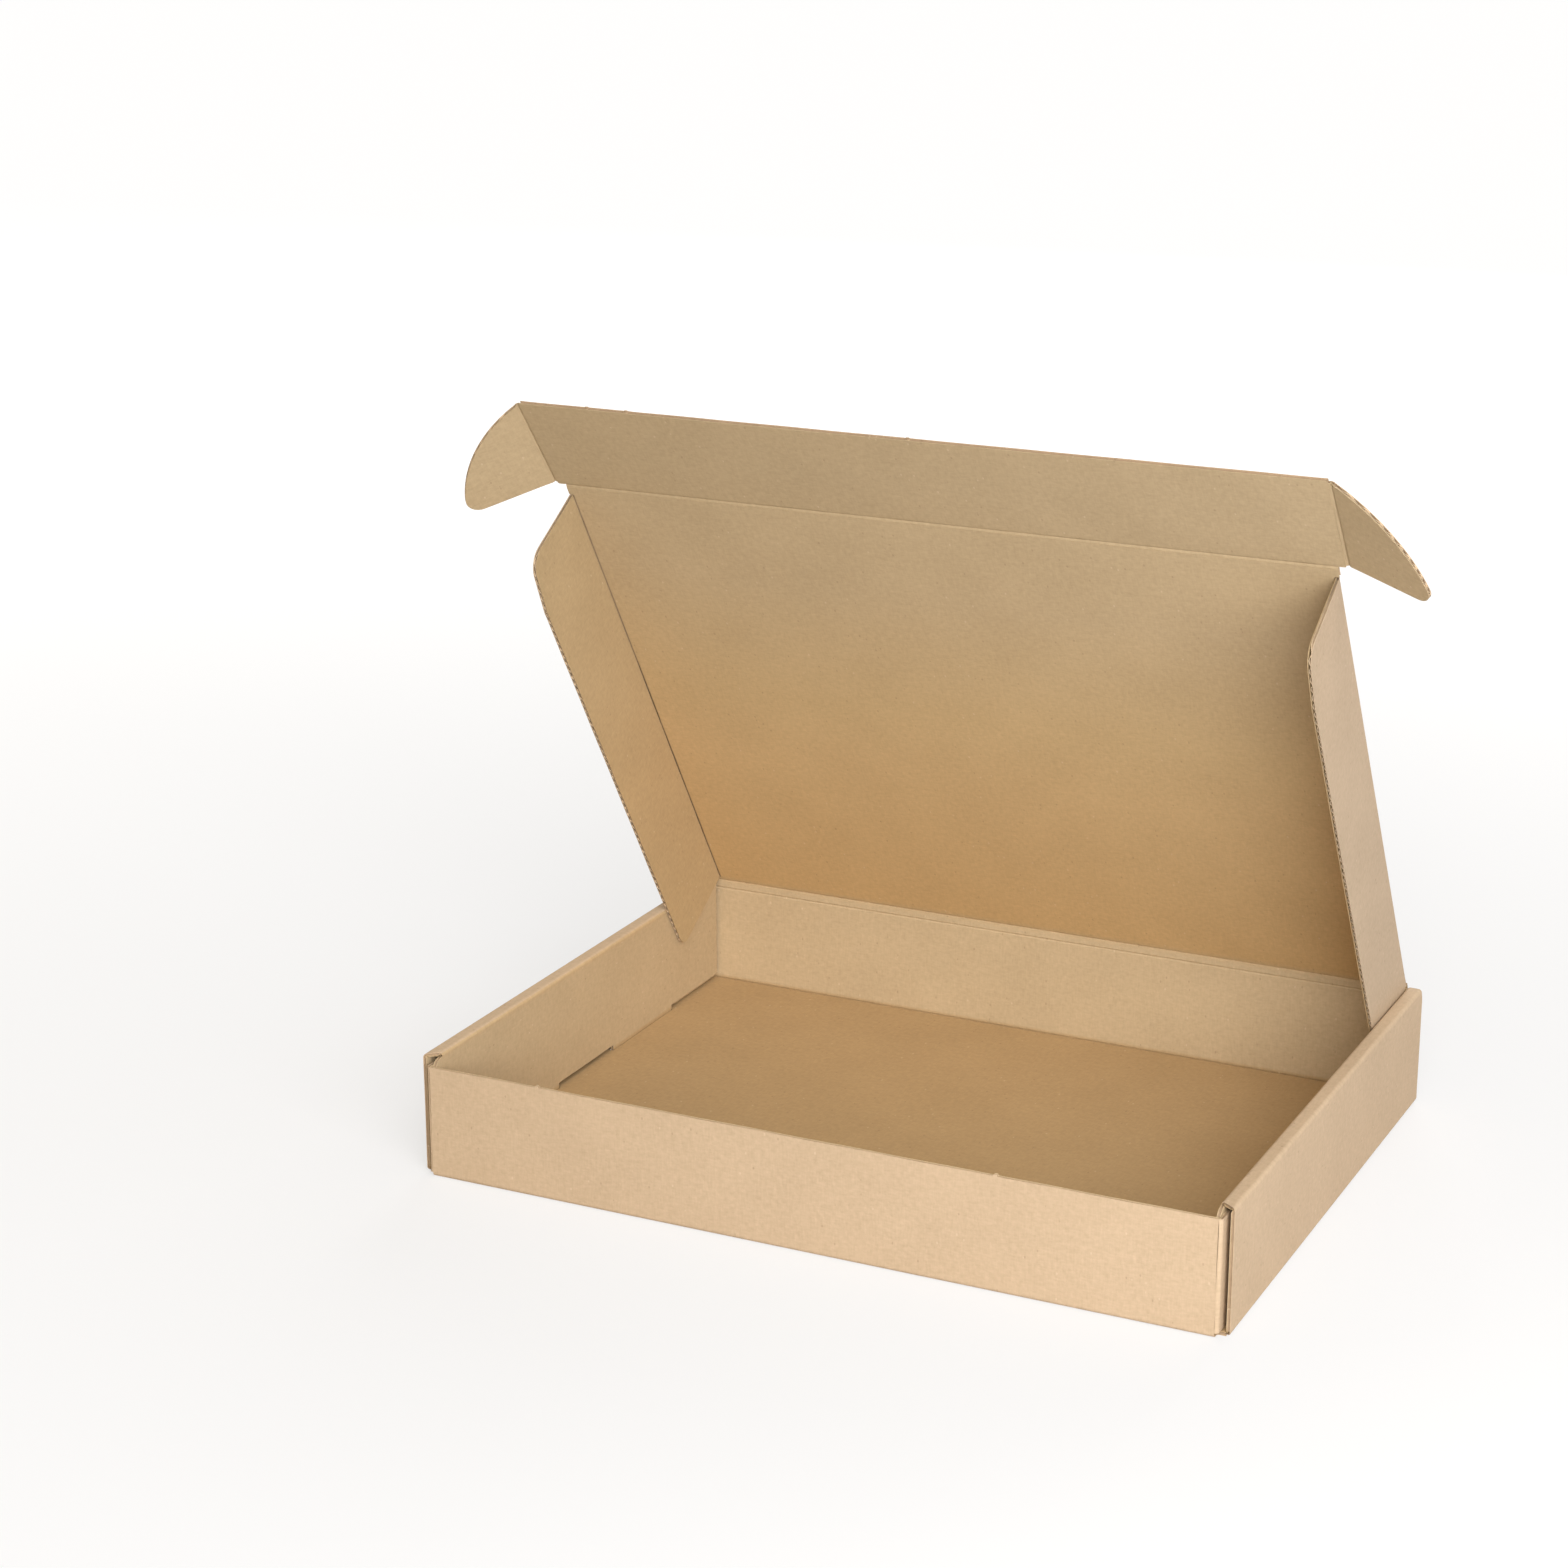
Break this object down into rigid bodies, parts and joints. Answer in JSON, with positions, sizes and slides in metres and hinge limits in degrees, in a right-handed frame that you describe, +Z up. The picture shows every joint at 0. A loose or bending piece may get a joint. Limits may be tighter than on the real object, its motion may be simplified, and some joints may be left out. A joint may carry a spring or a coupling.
{
  "type": "corrugated mailer box",
  "caption": "Corrugated mailer box: shallow tray with rolled double side walls, hinged lid with dust flaps, and a tuck flap whose rounded ears slot into the side walls.",
  "frame": {"origin": "middle of the tray's underside, between its front and back faces and its side faces", "axes": "+X along the box's length to its right side, -Y the front, +Y the hinge side, +Z up"},
  "size_m": [0.3417, 0.212, 0.2561],
  "materials": {
    "kraft_board": "matt brown kraft liner"
  },
  "bodies": {
    "tray": {"tray": "kraft_board"},
    "lid_panel": {"lid_panel": "kraft_board"},
    "tuck_flap": {"tuck_flap": "kraft_board"},
    "left_dust_flap": {"left_dust_flap": "kraft_board"},
    "right_dust_flap": {"right_dust_flap": "kraft_board"},
    "left_ear": {"left_ear": "kraft_board"},
    "right_ear": {"right_ear": "kraft_board"}
  },
  "joints": [
    {"name": "lid_hinge", "type": "hinge", "parent": "tray", "child": "lid_panel", "pos_m": [0, 0.10535, 0.0426], "axis": [-1, 0, 0], "range_deg": [-58, 122]},
    {"name": "tuck_fold", "type": "hinge", "parent": "lid_panel", "child": "tuck_flap", "pos_m": [0, -0.00715, 0.22264], "axis": [1, 0, 0], "range_deg": [-6, 84]},
    {"name": "left_ear_fold", "type": "hinge", "parent": "tuck_flap", "child": "left_ear", "pos_m": [-0.1429, -0.02008, 0.23919], "axis": [0, -0.6157, 0.788], "range_deg": [-35, 55]},
    {"name": "right_ear_fold", "type": "hinge", "parent": "tuck_flap", "child": "right_ear", "pos_m": [0.1429, -0.02008, 0.23919], "axis": [0, 0.6157, -0.788], "range_deg": [-22, 68]},
    {"name": "left_dust_fold", "type": "hinge", "parent": "lid_panel", "child": "left_dust_flap", "pos_m": [-0.13775, 0.04916, 0.1313], "axis": [0, -0.5299, 0.848], "range_deg": [0, 80]},
    {"name": "right_dust_fold", "type": "hinge", "parent": "lid_panel", "child": "right_dust_flap", "pos_m": [0.13775, 0.04916, 0.1313], "axis": [0, 0.5299, -0.848], "range_deg": [0, 80]}
  ]
}
